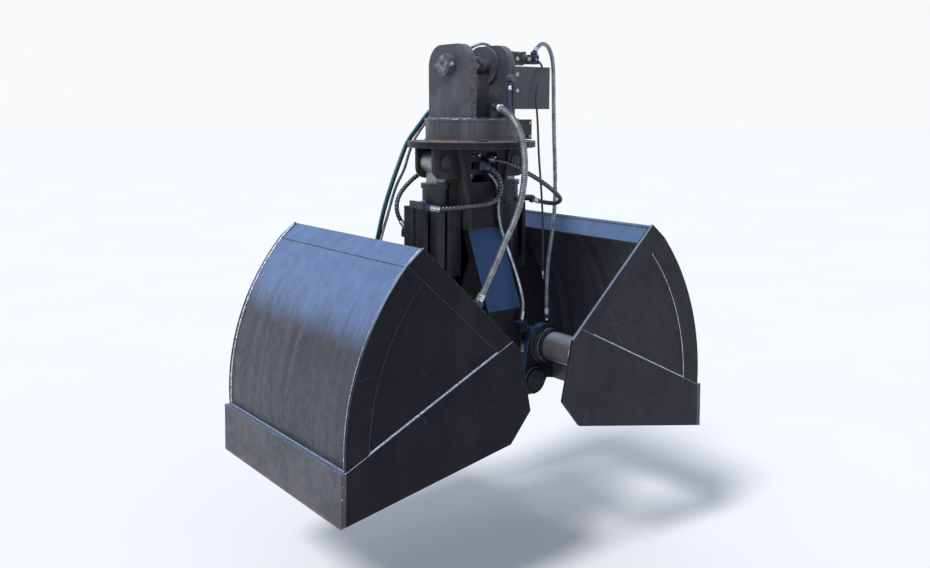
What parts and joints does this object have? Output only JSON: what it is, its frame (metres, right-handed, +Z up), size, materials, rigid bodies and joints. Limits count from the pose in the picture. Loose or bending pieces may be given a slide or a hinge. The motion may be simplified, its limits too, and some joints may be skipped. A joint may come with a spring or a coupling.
{
  "type": "clamshell bucket",
  "caption": "Hydraulic clamshell bucket with curved jaws, a rotating hanger head with pin ears, vertical cylinders in guards and hanging hydraulic hoses.",
  "frame": {"origin": "centre of the footprint, on the floor under the lips of the open jaws", "axes": "+X from the left jaw to the right jaw, the way they open; +Y across the jaws towards the rear; +Z up along the turning axis of the head"},
  "size_m": [1.8726, 1, 1.7099],
  "materials": {
    "jaw_paint": "satin black paint with light scratches",
    "shell_paint": "worn black paint with grey streaks",
    "tube_paint": "thin dark paint over turned steel",
    "frame_paint": "satin black paint",
    "cylinder_paint": "semi-gloss black paint",
    "head_paint": "dusty dark grey paint",
    "drive_iron": "dark painted casting",
    "pin_steel": "greasy turned steel",
    "rod_chrome": "polished rod",
    "hose_guard_steel": "wound steel guard",
    "hose_rubber": "black rubber with a spiral wrap"
  },
  "bodies": {
    "frame": {"frame_flange": "frame_paint", "frame_window_plate_front": "frame_paint", "frame_window_plate_rear": "frame_paint", "frame_wall_left": "frame_paint", "frame_wall_right": "frame_paint", "frame_stop_bar": "frame_paint", "frame_leg_front": "frame_paint", "frame_leg_rear": "frame_paint", "frame_cross_beam": "frame_paint", "frame_cylinder_pin_left": "pin_steel", "frame_cylinder_pin_right": "pin_steel", "frame_pivot_pin_left_front": "pin_steel", "frame_pivot_pin_left_rear": "pin_steel", "frame_pivot_pin_right_front": "pin_steel", "frame_pivot_pin_right_rear": "pin_steel", "frame_manifold": "frame_paint", "hose_left_port": "hose_rubber", "hose_leg": "hose_guard_steel"},
    "head": {"head_drum": "head_paint", "head_ear_left": "head_paint", "head_ear_right": "head_paint", "head_hanger_pin": "pin_steel", "head_keeper_bolt": "pin_steel", "head_hose_shield": "frame_paint", "head_valve_block": "drive_iron", "head_worm_housing": "drive_iron", "head_slew_motor": "drive_iron", "hose_guarded": "hose_guard_steel", "hose_right": "hose_guard_steel", "hose_thin": "hose_rubber", "hose_teal": "hose_guard_steel", "hose_silver": "hose_guard_steel", "hose_head_loop": "hose_rubber", "hose_head_link": "hose_rubber"},
    "left_jaw": {"left_jaw_side_front": "jaw_paint", "left_jaw_side_rear": "jaw_paint", "left_jaw_shell": "shell_paint", "left_jaw_lip": "jaw_paint", "left_jaw_cross_strip": "jaw_paint", "left_jaw_tube_front": "tube_paint", "left_jaw_tube_rear": "tube_paint", "left_jaw_arm_front": "frame_paint", "left_jaw_arm_rear": "frame_paint"},
    "right_jaw": {"right_jaw_side_front": "jaw_paint", "right_jaw_side_rear": "jaw_paint", "right_jaw_shell": "shell_paint", "right_jaw_lip": "jaw_paint", "right_jaw_cross_strip": "jaw_paint", "right_jaw_tube_front": "tube_paint", "right_jaw_tube_rear": "tube_paint", "right_jaw_arm_front": "frame_paint", "right_jaw_arm_rear": "frame_paint"},
    "left_barrel": {"cylinder_left_barrel": "cylinder_paint", "cylinder_left_guard": "frame_paint", "hose_left_rear": "hose_rubber"},
    "left_rod": {"cylinder_left_rod": "rod_chrome"},
    "right_barrel": {"cylinder_right_barrel": "cylinder_paint", "cylinder_right_guard": "frame_paint", "hose_right_port": "hose_rubber"},
    "right_rod": {"cylinder_right_rod": "rod_chrome"}
  },
  "joints": [
    {"name": "head_turn", "type": "hinge", "parent": "frame", "child": "head", "pos_m": [0, 0, 1.2965], "axis": [0, 0, 1], "continuous": true},
    {"name": "left_jaw_turn", "type": "hinge", "parent": "frame", "child": "left_jaw", "pos_m": [-0.14, 0, 0.29738], "axis": [0, -1, 0], "range_deg": [0, 78.9]},
    {"name": "right_jaw_turn", "type": "hinge", "parent": "frame", "child": "right_jaw", "pos_m": [0.14, 0, 0.29738], "axis": [0, 1, 0], "range_deg": [0, 78.9]},
    {"name": "left_barrel_swing", "type": "hinge", "parent": "frame", "child": "left_barrel", "pos_m": [-0.183, 0, 1.212], "axis": [0, 1, 0], "range_deg": [0, 6.48]},
    {"name": "left_rod_slide", "type": "slide", "parent": "left_barrel", "child": "left_rod", "axis": [-0.0092, 0, -1], "range_m": [0, 0.17799]},
    {"name": "right_barrel_swing", "type": "hinge", "parent": "frame", "child": "right_barrel", "pos_m": [0.183, 0, 1.212], "axis": [0, -1, 0], "range_deg": [0, 6.48]},
    {"name": "right_rod_slide", "type": "slide", "parent": "right_barrel", "child": "right_rod", "axis": [0.0092, 0, -1], "range_m": [0, 0.17799]}
  ],
  "couplings": [
    {"joint": "right_jaw_turn", "follows": "left_jaw_turn", "ratio": 1},
    {"joint": "left_barrel_swing", "follows": "left_jaw_turn", "ratio": 0.082089},
    {"joint": "left_rod_slide", "follows": "left_jaw_turn", "m_per_rad": 0.12925},
    {"joint": "right_barrel_swing", "follows": "left_jaw_turn", "ratio": 0.082089},
    {"joint": "right_rod_slide", "follows": "left_jaw_turn", "m_per_rad": 0.12925}
  ]
}
